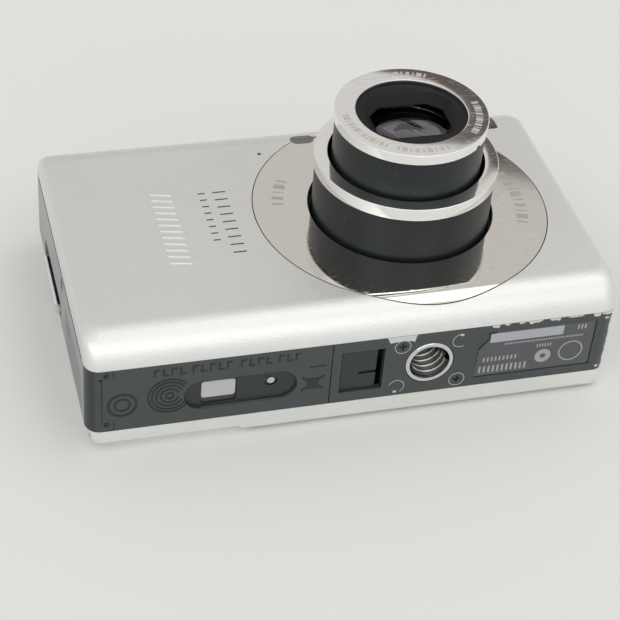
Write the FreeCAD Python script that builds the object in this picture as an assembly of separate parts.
import FreeCAD, Part
import math
import os

# Compact digital camera with a collapsing zoom lens, in millimetres.
# X runs left to right seen from the front, the lens looks along -Y, Z is up and the base is z = 0.
# The solids are built about the middle of the body and moved at the end,
# so that the origin is the centre of the tripod socket's mouth.

V = FreeCAD.Vector
X_AXIS = V(1, 0, 0)
Y_AXIS = V(0, 1, 0)
Z_AXIS = V(0, 0, 1)

# ---- body ----
WIDTH = 86.8
HEIGHT = 54.8
LEFT = -WIDTH / 2
RIGHT = WIDTH / 2
FRONT_Y = -10.7            # flat front face
FRONT_SEAM_Y = -6.2        # front shell meets the middle band
BACK_SEAM_Y = 6.45         # middle band meets the back shell
LEFT_BAND_BACK_Y = 7.6     # the left band reaches further back, round the strap pocket
CONTROL_BACK_Y = 8.8       # back face behind the controls
SCREEN_BACK_Y = 10.2       # raised back face round the screen
BOTTOM_ROUND_H = 6.0       # height of the front shell's lower rounding
TOP_ROUND_H = 6.6
CORNER_R = 2.4             # corners seen from the front
FRONT_SIDE_R = 1.2         # upright front edges
BACK_SIDE_R = 2.6          # upright back edges
BACK_EDGE_R = 1.2          # long back edges
SHELL_WALL = 0.6
BAND_WALL = 0.8
BASE_WALL = 1.2
SEAM = 0.1                 # gap between shells
DOOR_GAP = 0.15            # round the battery door, the flap and the label
BAND_END = 2.4             # height taken by the base and by the top cover at the corners

# ---- clearances ----
MOVE_GAP = 0.2             # between moving pieces and what surrounds them
FIT_GAP = 0.05             # between fixed pieces that drop into one another

# ---- lens ----
LENS_X = RIGHT - 29.46
LENS_Z = 27.41
INNER_TUBE_R = 12.3        # the rings and tubes round the inner barrel step outwards from it
INNER_TUBE_WALL = 1.0
INNER_RING_R = INNER_TUBE_R + 0.26
INNER_FACE_R = 9.1         # inner edge of the inner barrel's bright face
INNER_FRONT_Y = -29.62
INNER_RING_LEN = 1.79
INNER_TUBE_BACK_Y = -16.6
OUTER_TUBE_R = INNER_TUBE_R + 2.6
OUTER_TUBE_WALL = 1.2
OUTER_RING_R = OUTER_TUBE_R + 0.34
OUTER_FACE_R = INNER_RING_R + 0.36
OUTER_FRONT_Y = -21.15
OUTER_RING_LEN = 2.22
OUTER_TUBE_BACK_Y = -7.1
RING_FACE_T = 0.7          # thickness of the bright front faces
RING_BAND_T = 0.66         # thickness of the bright bands
OUTER_TRAVEL = 9.85
RING_PLATE_R = 24.72
RING_PLATE_T = 0.8
PLATE_HOLE_R = OUTER_RING_R + 0.66
SEAL_T = 0.8
SEAL_SET_BACK = 0.3
CAM_WALL = 1.3
CAM_BACK_Y = 2.6
BASE_TUBE_WALL = 1.0
SENSOR_PLATE_Y = 3.3
SENSOR_PLATE_T = 1.0
SENSOR_W = 8.4
SENSOR_H = 6.8
SENSOR_T = 0.7
MASK_W = 12.4              # rectangular window in the black mask
MASK_H = 9.2
MASK_CORNER = 2.2
MASK_BEVEL = 1.5
MASK_T = 1.35
BLADE_T = 0.35
BLADE_TRAVEL = 5.0
BLADE_GAP = 0.06           # half the gap left between the closed blades
FRONT_LENS_R = 7.8
FRONT_LENS_T = 3.2
REAR_LENS_R = 5.5
REAR_LENS_T = 2.6
LENS_CELL_T = 1.6
LENS_SPACING = 6.0

# ---- base ----
SOCKET_X = RIGHT - 31.55
SOCKET_Y = 0.2
SOCKET_BORE_R = 2.6
SOCKET_WALL = 1.3
SOCKET_FLANGE_R = SOCKET_BORE_R + 1.47
SOCKET_FLANGE_T = 1.0
SOCKET_DEPTH = 6.5
SOCKET_END_T = 0.8
DOOR_T = 1.6
DOOR_LEN = 35.7            # hinge pin to the end where the door hooks in
HINGE_X = LEFT + 3.1
HINGE_Z = 0.85             # also the knuckle's radius, so that the knuckle is flush with the base
HINGE_PIN_R = 0.4
HINGE_EAR_Y = 4.75         # inner faces of the hinge block's ears
HINGE_EAR_R = 1.05
HINGE_EAR_LEN = 1.2        # length of pin held in each ear
HINGE_ARM_LEN = 8.35       # two arms under the door carry the block's slide
HINGE_ARM_W = 0.6
HINGE_ARM_T = 0.45
GRIP_X0 = HINGE_X + 12.1   # finger recess in the door
GRIP_LEN = 18.2
GRIP_Y0 = -1.9
GRIP_Y1 = 4.0
GRIP_DEPTH = 0.55
LOCK_PLATE_T = 0.7
LOCK_PAD_X0 = GRIP_X0 + 2.9
LOCK_PAD_LEN = 5.4
LOCK_PAD_Y0 = -1.1
LOCK_PAD_Y1 = 2.2
LOCK_SHADE = 1.25          # open part of the window behind the pad
RIVET_X = GRIP_X0 + 14.0
RIVET_Y = 0.2
RIVET_R = 0.4
RIVET_HEAD_R = 0.6
RIVET_WELL_R = 1.1
FLAP_X0 = HINGE_X + DOOR_LEN + 1.6    # recess for the power lead
FLAP_RECESS_W = 7.1
DC_Y = 4.25
DC_RECESS = 0.45
DC_T = 0.7
FLAP_END_GAP = 1.1         # the nail catch beside the flap
FLAP_SLIT_W = 0.5
LABEL_X1 = RIGHT - 3.6
LABEL_LEN = 19.8
LABEL_HALF_Y = 4.6
LABEL_T = 0.15
SCREW_R = 1.25
SCREW_HEAD_T = 0.5
SCREW_SHANK_R = 0.6
SCREW_CROSS_W = 0.36

# ---- battery, card and their box ----
BATTERY_W = 35.4
BATTERY_H = 40.3
BATTERY_T = 5.9
BATTERY_X0 = LEFT + 3.2
BATTERY_Y0 = -5.6
CARD_W = 24.0
CARD_H = 32.0
CARD_T = 2.1
CARD_NOTCH = 4.0
CARD_X0 = BATTERY_X0 + 5.7
BOX_WALL = 0.5
BOX_Z0 = DOOR_T + 1.1
BOX_SLACK = 0.15           # round the battery and the card

# ---- windows in the front ----
AF_X = LENS_X - 11.64
AF_Z = HEIGHT - 6.15
AF_W = 4.1
AF_H = 2.7
FLASH_X1 = RIGHT - 5.2
FLASH_W = 11.0
FLASH_Z1 = HEIGHT - 3.9
FLASH_H = 4.3
FINDER_X0 = LENS_X - 0.34
FINDER_W = 6.2
FINDER_Z1 = HEIGHT - 4.8
FINDER_H = 3.6
FINDER_WALL = 1.0
WINDOW_T = 1.0
WINDOW_SET_BACK = 0.08
MIC_X = LENS_X - 20.0
MIC_Z = HEIGHT - 9.3
MIC_R = 0.35

# ---- screen and controls on the back ----
SCREEN_X1 = RIGHT - 3.4
SCREEN_W = 54.6
SCREEN_X0 = SCREEN_X1 - SCREEN_W
SCREEN_Z0 = 5.2
SCREEN_H = 41.2
SCREEN_COVER_T = 0.6
SCREEN_SET_BACK = 0.05
PANEL_T = 2.2
PANEL_BORDER = 1.0
SCREEN_STEP_X = SCREEN_X0 - 4.3    # where the back steps out
EYEPIECE_W = 6.4
EYEPIECE_H = 4.4
EYEPIECE_Z = HEIGHT - 4.8
EYEPIECE_PROUD = 0.25
LAMP_R = 0.7
LAMP_T = 1.4
LAMP_OFFSET = 6.2          # from the eyepiece
LAMP_PITCH = 2.0
BUTTON_PROUD = 0.4
BUTTON_TRAVEL = 0.4
ROUND_BUTTON_R = 2.3
PAD_X = LEFT + 12.8
PAD_Z = 26.5
PAD_R = 8.2
PAD_HOLE_R = 3.7
SET_R = 3.4
UPPER_BUTTON_X = 7.4       # either side of the pad
UPPER_BUTTON_Z = PAD_Z + 13.7
LOWER_BUTTON_X = 6.6
LOWER_BUTTON_Z = PAD_Z - 14.5
MODE_Z = HEIGHT - 7.5
MODE_W = 5.0
MODE_H = 3.0
MODE_TRAVEL = 3.0
MODE_PROUD = 0.5
MODE_RIB_PITCH = 1.2
MODE_RIB_W = 0.4

# ---- controls on the top ----
SHUTTER_X = LEFT + 12.4
SHUTTER_Y = 0.6
SHUTTER_R = 3.9
SHUTTER_CAP_T = 0.8
SHUTTER_PROUD = 1.8
SHUTTER_STEM_R = SHUTTER_R - 0.4
LEVER_R = 6.0
LEVER_H = 1.3
LEVER_LIFT = 0.12          # above the top cover
LEVER_NIB_W = 3.2
LEVER_NIB_PROUD = 0.9
POWER_X = SHUTTER_X + 18.5
POWER_W = 7.0
POWER_D = 3.2
POWER_PROUD = 0.25
STEM_LEN = 2.2

# ---- left side ----
POCKET_Y0 = 2.2
POCKET_Y1 = 7.2
POCKET_Z1 = HEIGHT - 10.0
POCKET_Z0 = POCKET_Z1 - 18.3
POCKET_DEPTH = 1.5
POCKET_WALL = 0.5
BAR_Y0 = 4.9
BAR_Y1 = 6.9
BAR_Z0 = POCKET_Z0 + 3.5
BAR_Z1 = POCKET_Z1 - 1.8
BAR_PROUD = 0.5
BAR_T = 0.9
BAR_LEG_R = 0.55
TERM_Y0 = -1.5
TERM_Y1 = 5.5
TERM_Z0 = 4.7
TERM_Z1 = 21.3
TERM_T = 0.7
TERM_SLIT_DEPTH = 0.35
TERMINAL_DEPTH = 5.0
TERMINAL_Y0 = BATTERY_Y0 + BATTERY_T + BOX_SLACK + BOX_WALL + 0.45    # clear of the battery box
TERMINAL_Y1 = TERMINAL_Y0 + 3.6
TERMINAL_WALL = 0.5
UPPER_TERMINAL_H = 7.0
LOWER_TERMINAL_H = 5.6
GRILLE_R = 0.3
GRILLE_ROWS = 5
GRILLE_PITCH = 1.3
GRILLE_Y = 4.2
GRILLE_Z = POCKET_Z1 + 1.8
SPEAKER_R = 2.6
SPEAKER_T = 1.2

# ---- boards, motor and capacitor ----
CHASSIS_Y0 = 5.3
CHASSIS_T = 0.6
BOARD_Y0 = FRONT_Y + 1.3
BOARD_T = 1.2
CONTROL_BOARD_T = 0.9
MOTOR_R = 4.0
MOTOR_LEN = 11.0
MOTOR_X = RIGHT - 6.9
MOTOR_Y0 = -7.5
MOTOR_Z = 10.5
GEARBOX_W = 9.0
GEARBOX_H = 4.7
GEARBOX_D = 7.5
CAPACITOR_R = 4.2
CAPACITOR_LEN = 26.5
CAPACITOR_Z0 = 17.0
REFLECTOR_R = 3.2
REFLECTOR_DEPTH = 4.0


def box(x0, x1, y0, y1, z0, z1):
    return Part.makeBox(x1 - x0, y1 - y0, z1 - z0, V(x0, y0, z0))


def rounded_box(x0, x1, y0, y1, z0, z1, radius, axis):
    """A box whose four edges along the axis are rounded."""
    solid = box(x0, x1, y0, y1, z0, z1)
    along = []
    for edge in solid.Edges:
        if abs(edge.tangentAt(edge.FirstParameter).dot(axis)) > 0.99:
            along.append(edge)
    return solid.makeFillet(radius, along)


def disc_y(radius, y0, y1, x=LENS_X, z=LENS_Z):
    return Part.makeCylinder(radius, y1 - y0, V(x, y0, z), Y_AXIS)


def ring_y(outer, inner, y0, y1, x=LENS_X, z=LENS_Z):
    return disc_y(outer, y0, y1, x, z).cut(disc_y(inner, y0 - 1, y1 + 1, x, z))


def disc_z(radius, x, y, z0, z1):
    return Part.makeCylinder(radius, z1 - z0, V(x, y, z0), Z_AXIS)


def rounded_wire(corners, to_point):
    """A closed wire through (a, b, radius) corners, with a tangent arc at each corner that has a radius."""
    starts = []
    ends = []
    mids = []
    count = len(corners)
    for i in range(count):
        a, b, radius = corners[i]
        here = V(a, b, 0)
        before = V(corners[i - 1][0], corners[i - 1][1], 0).sub(here).normalize()
        after_corner = corners[(i + 1) % count]
        after = V(after_corner[0], after_corner[1], 0).sub(here).normalize()
        half = before.getAngle(after) / 2
        reach = radius / math.tan(half) if radius else 0.0
        starts.append(here + before * reach)
        ends.append(here + after * reach)
        inward = (before + after).normalize()
        mids.append(here + inward * (radius / math.sin(half) - radius) if radius else here)
    edges = []
    for i in range(count):
        if corners[i][2]:
            edges.append(Part.Arc(to_point(starts[i]), to_point(mids[i]), to_point(ends[i])).toShape())
        nxt = (i + 1) % count
        if ends[i].distanceToPoint(starts[nxt]) > 1e-6:
            edges.append(Part.LineSegment(to_point(ends[i]), to_point(starts[nxt])).toShape())
    return Part.Wire(edges)


def body_solid(inset):
    """The camera's outer form, or the same form moved inwards by an even wall."""
    half = WIDTH / 2 - inset
    front = FRONT_Y + inset
    low = inset
    high = HEIGHT - inset
    outline = rounded_box(-half, half, FRONT_Y, SCREEN_BACK_Y, low, high, CORNER_R - inset * 0.5, Y_AXIS)

    # side view: flat front with a drawn rounding down to each seam
    def drop(height):
        depth = FRONT_SEAM_Y - FRONT_Y
        turn = 2 * math.atan2(depth, height)
        return height / math.sin(turn), turn

    def arc(height, edge_z, up):
        radius, turn = drop(height)
        centre_z = edge_z - up * height
        centre_y = FRONT_Y + radius
        small = radius - inset
        points = []
        for share in (0.0, 0.5, 1.0):
            angle = turn * share
            points.append(V(0, centre_y - small * math.cos(angle), centre_z + up * small * math.sin(angle)))
        return points

    lower = arc(BOTTOM_ROUND_H, 0.0, -1)
    upper = arc(TOP_ROUND_H, HEIGHT, 1)
    back = SCREEN_BACK_Y - inset
    round_r = BACK_EDGE_R
    corner = round_r * (1 - math.sqrt(0.5))
    edges = [
        Part.Arc(lower[2], lower[1], lower[0]).toShape(),
        Part.LineSegment(lower[0], upper[0]).toShape(),
        Part.Arc(upper[0], upper[1], upper[2]).toShape(),
    ]
    top_start = upper[2]
    if abs(top_start.z - high) > 1e-6:
        top_flat = V(0, top_start.y, high)
        edges.append(Part.LineSegment(top_start, top_flat).toShape())
        top_start = top_flat
    edges += [
        Part.LineSegment(top_start, V(0, back - round_r, high)).toShape(),
        Part.Arc(
            V(0, back - round_r, high), V(0, back - corner, high - corner), V(0, back, high - round_r)
        ).toShape(),
        Part.LineSegment(V(0, back, high - round_r), V(0, back, low + round_r)).toShape(),
        Part.Arc(
            V(0, back, low + round_r), V(0, back - corner, low + corner), V(0, back - round_r, low)
        ).toShape(),
    ]
    low_end = V(0, lower[2].y, low)
    edges.append(Part.LineSegment(V(0, back - round_r, low), low_end).toShape())
    if abs(lower[2].z - low) > 1e-6:
        edges.append(Part.LineSegment(low_end, lower[2]).toShape())
    side = Part.Face(Part.Wire(edges)).extrude(V(WIDTH, 0, 0))
    side.translate(V(LEFT, 0, 0))

    # top view: rounded upright edges and the step behind the controls
    step = SCREEN_BACK_Y - CONTROL_BACK_Y
    plan = rounded_wire(
        [
            (-half, front, FRONT_SIDE_R),
            (half, front, FRONT_SIDE_R),
            (half, back, BACK_SIDE_R),
            (SCREEN_STEP_X + step + inset * 0.4, back, 0.9),
            (SCREEN_STEP_X - step * 0.2 + inset * 0.4, CONTROL_BACK_Y - inset, 0.9),
            (-half, CONTROL_BACK_Y - inset, BACK_SIDE_R),
        ],
        lambda p: V(p.x, p.y, 0),
    )
    prism = Part.Face(plan).extrude(V(0, 0, HEIGHT))
    return outline.common(side).common(prism)


def save(name, shape):
    moved = shape.copy()
    moved.translate(V(-SOCKET_X, -SOCKET_Y, 0))
    moved.exportStep(os.path.join("parts", name + ".step"))


def window_prism(x0, x1, z0, z1, radius, y_back):
    """An upright rounded opening from in front of the body back to y_back."""
    return rounded_box(x0, x1, FRONT_Y - 3, y_back, z0, z1, radius, Y_AXIS)


def screw(x, y, z, axis, shank_len):
    """A countersunk screw with a cross recess, its head's face at the point and its shank along the axis."""
    cone_len = SCREW_R - SCREW_SHANK_R
    head = Part.makeCylinder(SCREW_R, SCREW_HEAD_T, V(x, y, z), axis)
    cone = Part.makeCone(SCREW_R, SCREW_SHANK_R, cone_len, V(x, y, z) + axis * SCREW_HEAD_T, axis)
    shank_at = V(x, y, z) + axis * (SCREW_HEAD_T + cone_len - 0.1)
    shank = Part.makeCylinder(SCREW_SHANK_R, shank_len, shank_at, axis)
    solid = head.fuse(cone).fuse(shank)
    wide = SCREW_R * 0.55
    narrow = SCREW_CROSS_W / 2
    for size in ((wide, narrow), (narrow, wide)):
        if abs(axis.z) > 0.5:
            slot = box(x - size[0], x + size[0], y - size[1], y + size[1], z - 0.1, z + SCREW_HEAD_T)
        else:
            reach = sorted((x - 0.1 * axis.x, x + SCREW_HEAD_T * axis.x))
            slot = box(reach[0], reach[1], y - size[0], y + size[0], z - size[1], z + size[1])
        solid = solid.cut(slot)
    return solid.removeSplitter()


def screw_hole(x, y, z, axis):
    deep = SCREW_HEAD_T + SCREW_R - SCREW_SHANK_R + FIT_GAP
    wide = Part.makeCylinder(SCREW_R + FIT_GAP, deep + 0.2, V(x, y, z) - axis * 0.2, axis)
    thin = Part.makeCylinder(SCREW_SHANK_R + FIT_GAP, 6.0, V(x, y, z), axis)
    return wide.fuse(thin)


SCREWS = [
    (SOCKET_X - 4.89, SOCKET_Y - 4.09, 0.0, Z_AXIS, 3.0),
    (SOCKET_X + 5.06, SOCKET_Y + 4.33, 0.0, Z_AXIS, 3.0),
    (RIGHT, -2.0, 8.0, X_AXIS * -1, 1.5),
    (RIGHT, -2.0, HEIGHT - 8.8, X_AXIS * -1, 1.5),
    (LEFT, -3.6, TERM_Z1 + 3.3, X_AXIS, 1.2),
]


def drill_screws(shape):
    for x, y, z, axis, _length in SCREWS:
        shape = shape.cut(screw_hole(x, y, z, axis))
    return shape


os.makedirs("parts", exist_ok=True)

outer = body_solid(0.0)
shell_skin = outer.cut(body_solid(SHELL_WALL))
band_skin = outer.cut(body_solid(BAND_WALL))
base_skin = outer.cut(body_solid(BASE_WALL))
mid_y0 = FRONT_SEAM_Y + SEAM
mid_y1 = BACK_SEAM_Y - SEAM
top_z = HEIGHT - BAND_END

# ---- windows in the front, cut to the body's own surface ----
flash_x0 = FLASH_X1 - FLASH_W
flash_z0 = FLASH_Z1 - FLASH_H
finder_x1 = FINDER_X0 + FINDER_W
finder_window_z0 = FINDER_Z1 - FINDER_H
af_x0 = AF_X - AF_W / 2
af_x1 = AF_X + AF_W / 2
af_z0 = AF_Z - AF_H / 2
af_z1 = AF_Z + AF_H / 2
window_reach = FRONT_Y + 4.0
flash_hole = window_prism(flash_x0, FLASH_X1, flash_z0, FLASH_Z1, 0.7, window_reach)
finder_hole = window_prism(FINDER_X0, finder_x1, finder_window_z0, FINDER_Z1, 0.6, window_reach)
af_hole = window_prism(af_x0, af_x1, af_z0, af_z1, AF_H * 0.49, window_reach)
plate_disc = disc_y(RING_PLATE_R, FRONT_Y - 1, FRONT_Y + RING_PLATE_T)
plate_seat = disc_y(RING_PLATE_R + SEAM, FRONT_Y - 1, FRONT_Y + RING_PLATE_T + FIT_GAP)


def front_window(x0, x1, z0, z1, radius):
    """A clear window whose outer face follows the shell, set back a hair."""
    plug = window_prism(x0 + FIT_GAP, x1 - FIT_GAP, z0 + FIT_GAP, z1 - FIT_GAP, radius, FRONT_Y + 3)
    return plug.common(body_solid(WINDOW_SET_BACK)).cut(body_solid(WINDOW_SET_BACK + WINDOW_T))


save("flash_window", front_window(flash_x0, FLASH_X1, flash_z0, FLASH_Z1, 0.6))
save("viewfinder_window", front_window(FINDER_X0, finder_x1, finder_window_z0, FINDER_Z1, 0.5))
save("af_lamp_window", front_window(af_x0, af_x1, af_z0, af_z1, AF_H * 0.45))

# ---- front shell: drawn aluminium cover ----
front_shell = shell_skin.common(box(LEFT, RIGHT, FRONT_Y - 1, FRONT_SEAM_Y, 0, HEIGHT))
front_shell = front_shell.cut(plate_seat)
front_shell = front_shell.cut(flash_hole).cut(finder_hole).cut(af_hole)
front_shell = front_shell.cut(disc_y(MIC_R, FRONT_Y - 1, FRONT_Y + 2, MIC_X, MIC_Z))
save("front_shell", front_shell)

# ---- lens ring plate: polished disc round the lens ----
ring_plate = plate_disc.common(body_solid(0.0)).cut(disc_y(PLATE_HOLE_R, FRONT_Y - 2, FRONT_Y + 2))
ring_plate = ring_plate.cut(flash_hole).cut(finder_hole).cut(af_hole)
save("lens_ring_plate", ring_plate)

# ---- lens: fixed base ----
cam_r0 = OUTER_TUBE_R + MOVE_GAP
cam_r1 = cam_r0 + CAM_WALL
base_r0 = cam_r1 + MOVE_GAP
base_r1 = base_r0 + BASE_TUBE_WALL
seal_y0 = FRONT_Y + SEAL_SET_BACK
cam_y0 = OUTER_FRONT_Y + OUTER_RING_LEN + OUTER_TRAVEL + MOVE_GAP    # clear of the drawn-in outer ring
base_y0 = FRONT_Y + RING_PLATE_T + SEAM
save("lens_seal_ring", ring_y(PLATE_HOLE_R - FIT_GAP, OUTER_RING_R + MOVE_GAP, seal_y0, seal_y0 + SEAL_T))
base_tube = ring_y(base_r1, base_r0, base_y0, SENSOR_PLATE_Y)
save("lens_base_tube", base_tube)
sensor_plate = disc_y(base_r1, SENSOR_PLATE_Y, SENSOR_PLATE_Y + SENSOR_PLATE_T)
save("sensor_plate", sensor_plate)
save("image_sensor", box(
    LENS_X - SENSOR_W / 2, LENS_X + SENSOR_W / 2, SENSOR_PLATE_Y - SENSOR_T, SENSOR_PLATE_Y,
    LENS_Z - SENSOR_H / 2, LENS_Z + SENSOR_H / 2,
))
save("cam_ring", ring_y(cam_r1, cam_r0, cam_y0, CAM_BACK_Y))

# ---- lens: outer barrel ----
outer_back_of_face = OUTER_FRONT_Y + RING_FACE_T
outer_ring_back = OUTER_FRONT_Y + OUTER_RING_LEN
outer_band_r0 = OUTER_RING_R - RING_BAND_T
outer_ring = ring_y(OUTER_RING_R, OUTER_FACE_R, OUTER_FRONT_Y, outer_back_of_face)
outer_ring = outer_ring.fuse(ring_y(OUTER_RING_R, outer_band_r0, outer_back_of_face, outer_ring_back))
save("outer_barrel_ring", outer_ring.removeSplitter())
outer_tube_r0 = OUTER_TUBE_R - OUTER_TUBE_WALL
outer_barrel = ring_y(OUTER_TUBE_R, outer_tube_r0, outer_ring_back, OUTER_TUBE_BACK_Y)
outer_nose = ring_y(outer_band_r0 - FIT_GAP, outer_tube_r0, outer_back_of_face, outer_ring_back)
outer_barrel = outer_barrel.fuse(outer_nose)
save("outer_barrel", outer_barrel.removeSplitter())

# ---- lens: inner barrel ----
inner_back_of_face = INNER_FRONT_Y + RING_FACE_T
inner_ring_back = INNER_FRONT_Y + INNER_RING_LEN
inner_band_r0 = INNER_RING_R - RING_BAND_T
inner_ring = ring_y(INNER_RING_R, INNER_FACE_R, INNER_FRONT_Y, inner_back_of_face)
inner_ring = inner_ring.fuse(ring_y(INNER_RING_R, inner_band_r0, inner_back_of_face, inner_ring_back))
save("inner_barrel_ring", inner_ring.removeSplitter())
inner_tube_r0 = INNER_TUBE_R - INNER_TUBE_WALL
mask_y0 = inner_back_of_face
mask_y1 = mask_y0 + MASK_T
blade_y0 = mask_y1 + MOVE_GAP
blade_y1 = blade_y0 + BLADE_T
cell_y0 = blade_y1 + MOVE_GAP
front_cell_y0 = cell_y0 + 0.6
rear_cell_y0 = cell_y0 + LENS_SPACING
inner_barrel = ring_y(INNER_TUBE_R, inner_tube_r0, inner_ring_back, INNER_TUBE_BACK_Y)
inner_nose = ring_y(inner_band_r0 - FIT_GAP, inner_tube_r0, inner_back_of_face, inner_ring_back)
inner_barrel = inner_barrel.fuse(inner_nose)
for lens_r, cell_front in ((FRONT_LENS_R, front_cell_y0), (REAR_LENS_R, rear_cell_y0)):
    cell = ring_y(inner_tube_r0, lens_r + FIT_GAP, cell_front, cell_front + LENS_CELL_T)
    inner_barrel = inner_barrel.fuse(cell)
save("inner_barrel", inner_barrel.removeSplitter())


def mask_wire(grow, y):
    half_w = MASK_W / 2 + grow
    half_h = MASK_H / 2 + grow
    cut = MASK_CORNER + grow * 0.4
    corners = [
        (-half_w + cut, -half_h), (half_w - cut, -half_h), (half_w, -half_h + cut), (half_w, half_h - cut),
        (half_w - cut, half_h), (-half_w + cut, half_h), (-half_w, half_h - cut), (-half_w, -half_h + cut),
    ]
    points = [V(LENS_X + a, y, LENS_Z + b) for a, b in corners]
    return Part.makePolygon(points + [points[0]])


mask = disc_y(inner_tube_r0 - FIT_GAP, mask_y0, mask_y1)
funnel = Part.makeLoft([mask_wire(MASK_BEVEL, mask_y0), mask_wire(0.0, mask_y1)], True, True)
save("front_mask", mask.cut(funnel))

blade_disc = disc_y(inner_tube_r0 - MOVE_GAP, blade_y0, blade_y1)
far = 2 * INNER_RING_R
for name, sign in (("barrier_blade_upper", 1), ("barrier_blade_lower", -1)):
    edge_z = LENS_Z + sign * (BLADE_TRAVEL + BLADE_GAP)
    reach = sorted((edge_z, edge_z + sign * far))
    save(name, blade_disc.common(box(LENS_X - far, LENS_X + far, blade_y0, blade_y1, reach[0], reach[1])))


def lens_element(radius, y0, thick, front_r, back_r):
    """A lens element: a rim cylinder bounded by two spheres."""
    rim = disc_y(radius, y0, y0 + thick)
    front_ball = Part.makeSphere(front_r, V(LENS_X, y0 + front_r, LENS_Z))
    back_ball = Part.makeSphere(back_r, V(LENS_X, y0 + thick + back_r * 0.98, LENS_Z))
    return rim.common(front_ball).cut(back_ball)


save("front_lens", lens_element(FRONT_LENS_R, cell_y0, FRONT_LENS_T, 22.0, 12.0))
save("rear_lens", lens_element(REAR_LENS_R, rear_cell_y0 - 0.4, REAR_LENS_T, 14.0, 30.0))

# ---- left band: strap pocket, grille and terminal opening ----
left_cover = band_skin.common(box(LEFT, LEFT + 3.2, mid_y0, LEFT_BAND_BACK_Y, BAND_END + SEAM, top_z - SEAM))
pocket_block = box(
    LEFT, LEFT + POCKET_DEPTH + POCKET_WALL, POCKET_Y0 - POCKET_WALL, LEFT_BAND_BACK_Y,
    POCKET_Z0 - POCKET_WALL, POCKET_Z1 + POCKET_WALL,
)
left_cover = left_cover.fuse(pocket_block.common(outer))
pocket = rounded_box(LEFT - 1, LEFT + POCKET_DEPTH, POCKET_Y0, POCKET_Y1, POCKET_Z0, POCKET_Z1, 1.2, X_AXIS)
left_cover = left_cover.cut(pocket)
term_opening = rounded_box(
    LEFT - 1, LEFT + 3, TERM_Y0 - 0.12, TERM_Y1 + 0.3, TERM_Z0 - 0.12, TERM_Z1 + 0.12, 1.0, X_AXIS
)
left_cover = left_cover.cut(term_opening)
for row in range(GRILLE_ROWS):
    for column in range(2):
        y = GRILLE_Y + column * GRILLE_PITCH
        z = GRILLE_Z + row * GRILLE_PITCH - column * GRILLE_PITCH / 2
        left_cover = left_cover.cut(Part.makeCylinder(GRILLE_R, 3, V(LEFT - 1, y, z), X_AXIS))
left_cover = drill_screws(left_cover).removeSplitter()
save("left_side_cover", left_cover)

bar_x0 = LEFT - BAR_PROUD
bar_x1 = bar_x0 + BAR_T
strap_bar = rounded_box(bar_x0, bar_x1, BAR_Y0, BAR_Y1, BAR_Z0, BAR_Z1, 0.4, Z_AXIS)
leg_x0 = bar_x1 - 0.3
leg_y = (BAR_Y0 + BAR_Y1) / 2
for leg_z in (BAR_Z0 + BAR_LEG_R, BAR_Z1 - BAR_LEG_R):
    leg = Part.makeCylinder(BAR_LEG_R, LEFT + POCKET_DEPTH - leg_x0, V(leg_x0, leg_y, leg_z), X_AXIS)
    strap_bar = strap_bar.fuse(leg)
save("strap_bar", strap_bar.removeSplitter())

term_cover = rounded_box(LEFT, LEFT + TERM_T, TERM_Y0, TERM_Y1, TERM_Z0, TERM_Z1, 0.9, X_AXIS)
nail_slit = box(LEFT - 1, LEFT + TERM_SLIT_DEPTH, TERM_Y0 + 1.6, TERM_Y0 + 2.1, TERM_Z1 - 5.2, TERM_Z1 - 1.6)
save("terminal_cover", term_cover.cut(nail_slit))

socket_x0 = LEFT + TERM_T + 0.7
socket_x1 = socket_x0 + TERMINAL_DEPTH
terminal_mid_y = (TERMINAL_Y0 + TERMINAL_Y1) / 2
sockets = []
upper_terminal_z1 = TERM_Z1 - 1.1
lower_terminal_z0 = TERM_Z0 + 1.1
terminal_spans = (
    (upper_terminal_z1 - UPPER_TERMINAL_H, upper_terminal_z1),
    (lower_terminal_z0, lower_terminal_z0 + LOWER_TERMINAL_H),
)
for z0, z1 in terminal_spans:
    case = box(socket_x0, socket_x1, TERMINAL_Y0, TERMINAL_Y1, z0, z1)
    hollow = box(
        socket_x0 - 1, socket_x1 - 0.8, TERMINAL_Y0 + TERMINAL_WALL, TERMINAL_Y1 - TERMINAL_WALL,
        z0 + TERMINAL_WALL, z1 - TERMINAL_WALL,
    )
    tongue = box(
        socket_x0 + 0.8, socket_x1 - 0.6, terminal_mid_y - 0.4, terminal_mid_y + 0.4, z0 + 1.2, z1 - 1.2
    )
    sockets.append(case.cut(hollow).fuse(tongue).removeSplitter())
save("terminal_sockets", Part.makeCompound(sockets))

speaker_at = V(LEFT + BAND_WALL + 0.3, GRILLE_Y - 0.6, GRILLE_Z + 2.2)
save("speaker", Part.makeCylinder(SPEAKER_R, SPEAKER_T, speaker_at, X_AXIS))

# ---- right band and top cover ----
right_cover = band_skin.common(box(RIGHT - 3.2, RIGHT, mid_y0, mid_y1, BAND_END + SEAM, top_z - SEAM))
save("right_side_cover", drill_screws(right_cover))

top_cover = band_skin.common(box(LEFT, RIGHT, mid_y0, mid_y1, top_z, HEIGHT))
top_cover = top_cover.cut(disc_z(SHUTTER_STEM_R + MOVE_GAP, SHUTTER_X, SHUTTER_Y, top_z, HEIGHT + 1))
power_z0 = HEIGHT - STEM_LEN
power_slot = rounded_box(
    POWER_X - POWER_W / 2 - MOVE_GAP, POWER_X + POWER_W / 2 + MOVE_GAP,
    SHUTTER_Y - POWER_D / 2 - MOVE_GAP, SHUTTER_Y + POWER_D / 2 + MOVE_GAP,
    top_z, HEIGHT + 1, POWER_D * 0.49, Z_AXIS,
)
top_cover = top_cover.cut(power_slot)
save("top_cover", top_cover)

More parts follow.
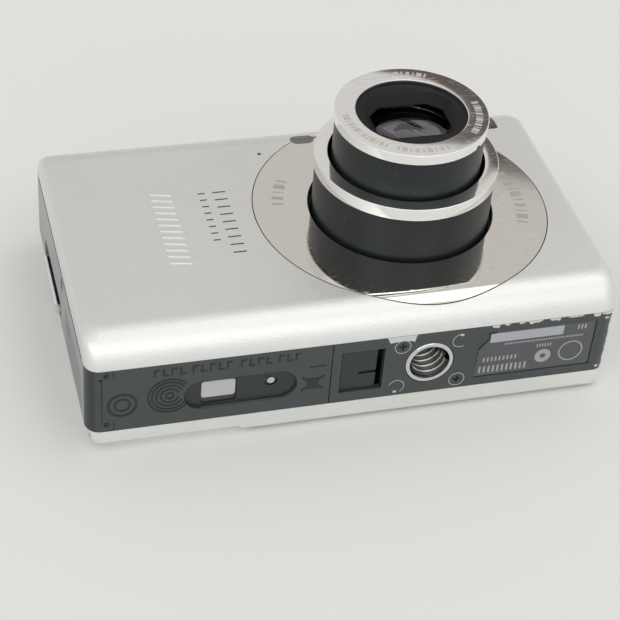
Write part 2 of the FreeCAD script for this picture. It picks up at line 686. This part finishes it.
# ---- controls on the top ----
lever_z0 = HEIGHT + LEVER_LIFT
lever = disc_z(LEVER_R, SHUTTER_X, SHUTTER_Y, lever_z0, lever_z0 + LEVER_H)
nib = rounded_box(
    SHUTTER_X - LEVER_NIB_W / 2, SHUTTER_X + LEVER_NIB_W / 2,
    SHUTTER_Y - LEVER_R - LEVER_NIB_PROUD, SHUTTER_Y - LEVER_R + 1.2,
    lever_z0, lever_z0 + LEVER_H, 0.7, Z_AXIS,
)
lever_hole = disc_z(SHUTTER_R + MOVE_GAP, SHUTTER_X, SHUTTER_Y, lever_z0 - 1, lever_z0 + LEVER_H + 1)
lever = lever.fuse(nib).cut(lever_hole)
save("zoom_lever", lever.removeSplitter())
shutter_z1 = HEIGHT + SHUTTER_PROUD
shutter = disc_z(SHUTTER_R, SHUTTER_X, SHUTTER_Y, shutter_z1 - SHUTTER_CAP_T, shutter_z1)
shutter = shutter.makeFillet(0.35, [e for e in shutter.Edges if abs(e.BoundBox.ZMin - shutter_z1) < 1e-6])
stem_z1 = shutter_z1 - SHUTTER_CAP_T
shutter = shutter.fuse(disc_z(SHUTTER_STEM_R, SHUTTER_X, SHUTTER_Y, HEIGHT - STEM_LEN, stem_z1))
save("shutter_button", shutter.removeSplitter())
power = rounded_box(
    POWER_X - POWER_W / 2, POWER_X + POWER_W / 2, SHUTTER_Y - POWER_D / 2, SHUTTER_Y + POWER_D / 2,
    power_z0, HEIGHT + POWER_PROUD, POWER_D * 0.48, Z_AXIS,
)
save("power_button", power)

# ---- base plate, tripod socket, label ----
door_right_x = HINGE_X + DOOR_LEN
lead_x1 = FLAP_X0 + FLAP_RECESS_W
base_plate = base_skin.common(box(door_right_x + DOOR_GAP, RIGHT, mid_y0, mid_y1, 0, BAND_END))
dc_recess = box(FLAP_X0, lead_x1, SOCKET_Y - DC_Y, SOCKET_Y + DC_Y, -1, BASE_WALL + 2)
base_plate = base_plate.cut(dc_recess)
base_plate = base_plate.cut(disc_z(SOCKET_FLANGE_R + FIT_GAP, SOCKET_X, SOCKET_Y, -1, BASE_WALL + 2))
label_reach = LABEL_HALF_Y + DOOR_GAP
label_x0 = LABEL_X1 - LABEL_LEN
label_seat = box(label_x0 - DOOR_GAP, LABEL_X1 + DOOR_GAP, -label_reach, label_reach, -1, LABEL_T + 0.15)
base_plate = base_plate.cut(label_seat)
base_plate = drill_screws(base_plate)
save("base_plate", base_plate)
socket_r = SOCKET_BORE_R + SOCKET_WALL
socket = disc_z(SOCKET_FLANGE_R, SOCKET_X, SOCKET_Y, 0, SOCKET_FLANGE_T)
socket = socket.fuse(disc_z(socket_r, SOCKET_X, SOCKET_Y, SOCKET_FLANGE_T, SOCKET_DEPTH + SOCKET_END_T))
socket = socket.cut(disc_z(SOCKET_BORE_R, SOCKET_X, SOCKET_Y, -1, SOCKET_DEPTH))
save("tripod_socket", socket.removeSplitter())
screw_group = Part.makeCompound([screw(*place) for place in SCREWS])
save("case_screws", screw_group)

# ---- power lead cover: small flap in the base ----
flap_x0 = FLAP_X0 + MOVE_GAP
flap_x1 = lead_x1 - FLAP_END_GAP
flap_y0 = SOCKET_Y - DC_Y + DOOR_GAP
flap_y1 = SOCKET_Y + DC_Y - DOOR_GAP
flap = box(flap_x0, flap_x1, flap_y0, flap_y1, DC_RECESS, DC_RECESS + DC_T)
slit_y0 = SOCKET_Y + 0.5
slit = box(flap_x1 - 2.9, flap_x1 + 1, slit_y0, slit_y0 + FLAP_SLIT_W, DC_RECESS - 1, DC_RECESS + 0.4)
flap = flap.cut(slit)
save("power_lead_cover", flap)

# ---- battery door with its hinge block ----
door_x0 = HINGE_X - HINGE_Z
ear_gap_x = HINGE_X + HINGE_EAR_R + DOOR_GAP
knuckle_y = HINGE_EAR_Y - DOOR_GAP
pin_y = HINGE_EAR_Y + HINGE_EAR_LEN
grip_x1 = GRIP_X0 + GRIP_LEN
lock_x1 = LOCK_PAD_X0 + LOCK_PAD_LEN
plate_z0 = DOOR_T - LOCK_PLATE_T


def hinge_cylinder(radius, half_len):
    return Part.makeCylinder(radius, 2 * half_len, V(HINGE_X, -half_len, HINGE_Z), Y_AXIS)


def lock_outline(grow, z0):
    """The lock plate's block, or its pocket when grown, from z0 up to the door's inner face."""
    return box(
        LOCK_PAD_X0 - 2.0 - grow, RIVET_X + 3.0 + grow,
        LOCK_PAD_Y0 - 1.5 - grow, GRIP_Y1 - 0.2 + grow, z0, DOOR_T,
    )


door = outer.common(box(door_x0, door_right_x, mid_y0, mid_y1, 0, DOOR_T))
door = door.cut(box(door_x0 - 1, HINGE_X, -20, 20, -1, DOOR_T + 1))
for side in (1, -1):
    reach = sorted((side * knuckle_y, side * 20))
    door = door.cut(box(door_x0 - 1, ear_gap_x, reach[0], reach[1], -1, DOOR_T + 1))
door = door.fuse(hinge_cylinder(HINGE_Z, knuckle_y))
door = door.cut(hinge_cylinder(HINGE_PIN_R + FIT_GAP, 2 * knuckle_y))
grip_r = (GRIP_Y1 - GRIP_Y0) * 0.495
door = door.cut(rounded_box(GRIP_X0, grip_x1, GRIP_Y0, GRIP_Y1, -1, GRIP_DEPTH, grip_r, Z_AXIS))
door_window = rounded_box(
    LOCK_PAD_X0 - MOVE_GAP, lock_x1 + MOVE_GAP, LOCK_PAD_Y0 - MOVE_GAP, LOCK_PAD_Y1 + LOCK_SHADE,
    -1, DOOR_T + 1, 0.8, Z_AXIS,
)
door = door.cut(door_window)
door = door.cut(disc_z(RIVET_WELL_R, RIVET_X, RIVET_Y, -1, DOOR_T + 1))
door = door.cut(lock_outline(MOVE_GAP, plate_z0 - FIT_GAP))
save("battery_door", door.removeSplitter())
lock_pad = rounded_box(
    LOCK_PAD_X0, lock_x1, LOCK_PAD_Y0, LOCK_PAD_Y1, GRIP_DEPTH, plate_z0 + 0.1, 0.5, Z_AXIS
)
lock_plate = lock_outline(0.0, plate_z0).fuse(lock_pad)
lock_plate = lock_plate.cut(disc_z(RIVET_R + FIT_GAP, RIVET_X, RIVET_Y, -1, DOOR_T + 1))
save("door_lock_plate", lock_plate.removeSplitter())
rivet_z = plate_z0 - FIT_GAP
rivet = disc_z(RIVET_HEAD_R, RIVET_X, RIVET_Y, GRIP_DEPTH - 0.05, rivet_z)
save("door_rivet", rivet.fuse(disc_z(RIVET_R, RIVET_X, RIVET_Y, rivet_z, DOOR_T)))

hinge_block = outer.common(box(LEFT, HINGE_X - HINGE_EAR_R, mid_y0, mid_y1, 0, BAND_END - 0.05))
ear_bar = outer.common(box(HINGE_X - HINGE_EAR_R, HINGE_X, mid_y0, mid_y1, 0, DOOR_T + 0.1))
ear_round = hinge_cylinder(HINGE_EAR_R, 20).common(outer)
ear_bar = ear_bar.fuse(ear_round.common(box(LEFT, RIGHT, mid_y0, mid_y1, 0, DOOR_T)))
arm_x0 = HINGE_X - HINGE_EAR_R - 0.1
arm_z0 = DOOR_T + 0.25
for side in (1, -1):
    reach = sorted((side * HINGE_EAR_Y, side * 20))
    hinge_block = hinge_block.fuse(ear_bar.common(box(LEFT, RIGHT, reach[0], reach[1], 0, BAND_END)))
    span = sorted((side * (knuckle_y - HINGE_ARM_W), side * knuckle_y))
    arm = box(arm_x0, arm_x0 + HINGE_ARM_LEN, span[0], span[1], arm_z0, arm_z0 + HINGE_ARM_T)
    hinge_block = hinge_block.fuse(arm)
hinge_block = hinge_block.cut(hinge_cylinder(HINGE_PIN_R, pin_y))
save("door_hinge_block", hinge_block.removeSplitter())
save("door_hinge_pin", hinge_cylinder(HINGE_PIN_R, pin_y))

# ---- battery, card and box ----
battery_x1 = BATTERY_X0 + BATTERY_W
battery_y1 = BATTERY_Y0 + BATTERY_T
card_x1 = CARD_X0 + CARD_W
bay_z1 = BOX_Z0 + BATTERY_H + 1.5
bay = box(
    BATTERY_X0 - BOX_SLACK, battery_x1 + BOX_SLACK, BATTERY_Y0 - BOX_SLACK, battery_y1 + BOX_SLACK,
    BOX_Z0 - 1, bay_z1,
)
card_y0 = battery_y1 + BOX_SLACK + BOX_WALL + BOX_SLACK
card_y1 = card_y0 + CARD_T
card_bay_z1 = BOX_Z0 + CARD_H + 1.0
card_bay = box(
    CARD_X0 - BOX_SLACK, card_x1 + BOX_SLACK, card_y0 - BOX_SLACK, card_y1 + BOX_SLACK,
    BOX_Z0 - 1, card_bay_z1,
)
box_reach = BOX_SLACK + BOX_WALL
battery_box = box(
    BATTERY_X0 - box_reach, battery_x1 + box_reach - 0.1, BATTERY_Y0 - box_reach, battery_y1 + box_reach,
    BOX_Z0, bay_z1 + BOX_WALL,
)
card_box = box(
    CARD_X0 - box_reach, card_x1 + box_reach, battery_y1, card_y1 + box_reach,
    BOX_Z0, card_bay_z1 + BOX_WALL,
)
battery_box = battery_box.fuse(card_box)
battery_box = battery_box.cut(bay).cut(card_bay)
save("battery_box", battery_box.removeSplitter())
battery_z0 = BOX_Z0 + 0.1
save("battery", rounded_box(
    BATTERY_X0, battery_x1, BATTERY_Y0, battery_y1, battery_z0, battery_z0 + BATTERY_H, 0.8, Z_AXIS
))
card_z0 = BOX_Z0 + 0.3
card_z1 = card_z0 + CARD_H
card = box(CARD_X0, card_x1, card_y0, card_y1, card_z0, card_z1)
notch = Part.makePolygon([
    V(card_x1 - CARD_NOTCH, card_y0 - 1, card_z1), V(card_x1, card_y0 - 1, card_z1 - CARD_NOTCH),
    V(card_x1 + 1, card_y0 - 1, card_z1 + 1), V(card_x1 - CARD_NOTCH, card_y0 - 1, card_z1),
])
save("memory_card", card.cut(Part.Face(notch).extrude(V(0, CARD_T + 2, 0))))

# ---- fixed insides ----
finder_z0 = LENS_Z + base_r1 + 0.3
save("chassis_plate", box(socket_x1 + MOVE_GAP, RIGHT - 1.5, CHASSIS_Y0, CHASSIS_Y0 + CHASSIS_T, 3.0, finder_z0 - 0.4))
save("main_board", box(LEFT + 1.9, LENS_X - base_r1 - 0.8, BOARD_Y0, BOARD_Y0 + BOARD_T, 7.5, HEIGHT - 10.3))
motor = Part.makeCylinder(MOTOR_R, MOTOR_LEN, V(MOTOR_X, MOTOR_Y0, MOTOR_Z), Y_AXIS)
gearbox_z1 = MOTOR_Z + 1.0
gearbox = box(
    MOTOR_X - GEARBOX_W, MOTOR_X, MOTOR_Y0 + 1.0, MOTOR_Y0 + 1.0 + GEARBOX_D,
    gearbox_z1 - GEARBOX_H, gearbox_z1,
)
save("zoom_motor", motor.fuse(gearbox).removeSplitter())
capacitor_x = RIGHT - BAND_WALL - CAPACITOR_R - 1.1
save("flash_capacitor", disc_z(CAPACITOR_R, capacitor_x, -2.6, CAPACITOR_Z0, CAPACITOR_Z0 + CAPACITOR_LEN))
reflector_y0 = FRONT_Y + 2.6
reflector = box(
    flash_x0 - 0.4, FLASH_X1 + 0.4, reflector_y0, reflector_y0 + REFLECTOR_DEPTH,
    flash_z0 - 0.6, FLASH_Z1 + 0.4,
)
trough_at = V(flash_x0 + 0.3, reflector_y0 - 0.2, (flash_z0 + FLASH_Z1) / 2)
trough = Part.makeCylinder(REFLECTOR_R, FLASH_W - 0.6, trough_at, X_AXIS)
trough_limit = box(flash_x0, FLASH_X1, FRONT_Y, FRONT_Y + 9, flash_z0 - 0.3, FLASH_Z1 + 0.1)
save("flash_reflector", reflector.cut(trough.common(trough_limit)))
finder_x = FINDER_X0 + FINDER_W / 2
screen_y1 = SCREEN_BACK_Y - SCREEN_SET_BACK
panel_y1 = screen_y1 - SCREEN_COVER_T - SCREEN_SET_BACK
finder_y1 = panel_y1 - PANEL_T - MOVE_GAP
finder_body = box(FINDER_X0 - 0.6, finder_x1 + 0.6, FRONT_Y + 3.4, finder_y1, finder_z0, top_z - 0.4)
finder_bore = box(
    FINDER_X0 + 0.4, finder_x1 - 0.4, FRONT_Y + 3, 9.0, finder_z0 + FINDER_WALL, top_z - 0.4 - FINDER_WALL
)
save("viewfinder_block", finder_body.cut(finder_bore))
control_y0 = CONTROL_BACK_Y - SHELL_WALL - 2.0
control_y1 = control_y0 + CONTROL_BOARD_T
save("control_board", box(LEFT + 2.1, SCREEN_STEP_X - 0.8, control_y0, control_y1, 4.0, HEIGHT - 4.3))

# ---- back shell with screen, eyepiece, lamps and controls ----
eye_x0 = finder_x - EYEPIECE_W / 2
eye_z0 = EYEPIECE_Z - EYEPIECE_H / 2
back_shell = shell_skin.common(box(LEFT, RIGHT, BACK_SEAM_Y, SCREEN_BACK_Y + 1, 0, HEIGHT))
left_notch = box(LEFT - 1, LEFT + 3.3, BACK_SEAM_Y - 1, LEFT_BAND_BACK_Y + SEAM, BAND_END, top_z)
back_shell = back_shell.cut(left_notch)
screen_z1 = SCREEN_Z0 + SCREEN_H
screen_seat = rounded_box(
    SCREEN_X0 - FIT_GAP, SCREEN_X1 + FIT_GAP, SCREEN_BACK_Y - 2, SCREEN_BACK_Y + 1,
    SCREEN_Z0 - FIT_GAP, screen_z1 + FIT_GAP, 1.5, Y_AXIS,
)
back_shell = back_shell.cut(screen_seat)
eye_seat = rounded_box(
    eye_x0 - FIT_GAP, eye_x0 + EYEPIECE_W + FIT_GAP, SCREEN_BACK_Y - 3, SCREEN_BACK_Y + 1,
    eye_z0 - FIT_GAP, eye_z0 + EYEPIECE_H + FIT_GAP, 0.9, Y_AXIS,
)
back_shell = back_shell.cut(eye_seat)
lamp_x = finder_x - LAMP_OFFSET
lamp_y1 = SCREEN_BACK_Y + 0.05
lamps = []
for lamp_z in (EYEPIECE_Z - 1.1 + LAMP_PITCH, EYEPIECE_Z - 1.1):
    lamp_hole = disc_y(LAMP_R + FIT_GAP, SCREEN_BACK_Y - 2, SCREEN_BACK_Y + 1, lamp_x, lamp_z)
    back_shell = back_shell.cut(lamp_hole)
    lamps.append(disc_y(LAMP_R, lamp_y1 - LAMP_T, lamp_y1, lamp_x, lamp_z))
save("indicator_lamps", Part.makeCompound(lamps))
save("screen_cover", rounded_box(
    SCREEN_X0, SCREEN_X1, screen_y1 - SCREEN_COVER_T, screen_y1, SCREEN_Z0, screen_z1, 1.45, Y_AXIS
))
save("screen_panel", box(
    SCREEN_X0 + PANEL_BORDER, SCREEN_X1 - PANEL_BORDER, panel_y1 - PANEL_T, panel_y1,
    SCREEN_Z0 + PANEL_BORDER, screen_z1 - PANEL_BORDER,
))
eyepiece = rounded_box(
    eye_x0, eye_x0 + EYEPIECE_W, finder_y1 + FIT_GAP, SCREEN_BACK_Y + EYEPIECE_PROUD,
    eye_z0, eye_z0 + EYEPIECE_H, 0.85, Y_AXIS,
)
save("viewfinder_eyepiece", eyepiece)

BUTTONS = [
    ("print_button", PAD_X + UPPER_BUTTON_X, UPPER_BUTTON_Z),
    ("playback_button", PAD_X - UPPER_BUTTON_X, UPPER_BUTTON_Z),
    ("display_button", PAD_X - LOWER_BUTTON_X, LOWER_BUTTON_Z),
    ("menu_button", PAD_X + LOWER_BUTTON_X, LOWER_BUTTON_Z),
]
button_y0 = control_y1 + BUTTON_TRAVEL + MOVE_GAP
button_y1 = CONTROL_BACK_Y + BUTTON_PROUD


def round_button(name, x, z, radius):
    cap = disc_y(radius, button_y0, button_y1, x, z)
    rim = [e for e in cap.Edges if abs(e.BoundBox.YMin - button_y1) < 1e-6]
    save(name, cap.makeFillet(0.25, rim))


for name, x, z in BUTTONS:
    round_button(name, x, z, ROUND_BUTTON_R)
    back_shell = back_shell.cut(disc_y(ROUND_BUTTON_R + MOVE_GAP, 0, SCREEN_BACK_Y + 1, x, z))
round_button("set_button", PAD_X, PAD_Z, SET_R)
pad = ring_y(PAD_R, PAD_HOLE_R, button_y0, button_y1, PAD_X, PAD_Z)
save("four_way_pad", pad)
back_shell = back_shell.cut(disc_y(PAD_R + MOVE_GAP + 0.1, 0, SCREEN_BACK_Y + 1, PAD_X, PAD_Z))
mode_reach = MODE_W / 2 + MODE_TRAVEL + MOVE_GAP
mode_slot = rounded_box(
    PAD_X - mode_reach, PAD_X + mode_reach, 0, SCREEN_BACK_Y + 1,
    MODE_Z - MODE_H / 2 - MOVE_GAP, MODE_Z + MODE_H / 2 + MOVE_GAP, 0.6, Y_AXIS,
)
back_shell = back_shell.cut(mode_slot)
mode_y1 = CONTROL_BACK_Y + MODE_PROUD
mode_knob = rounded_box(
    PAD_X - MODE_W / 2, PAD_X + MODE_W / 2, button_y0, mode_y1,
    MODE_Z - MODE_H / 2, MODE_Z + MODE_H / 2, 0.5, Y_AXIS,
)
for rib in range(3):
    rib_x0 = PAD_X + (rib - 1) * MODE_RIB_PITCH - MODE_RIB_W / 2
    groove = box(rib_x0, rib_x0 + MODE_RIB_W, mode_y1 - 0.2, mode_y1 + 1, MODE_Z - 1, MODE_Z + 1)
    mode_knob = mode_knob.cut(groove)
save("mode_switch", mode_knob)
save("back_shell", back_shell)
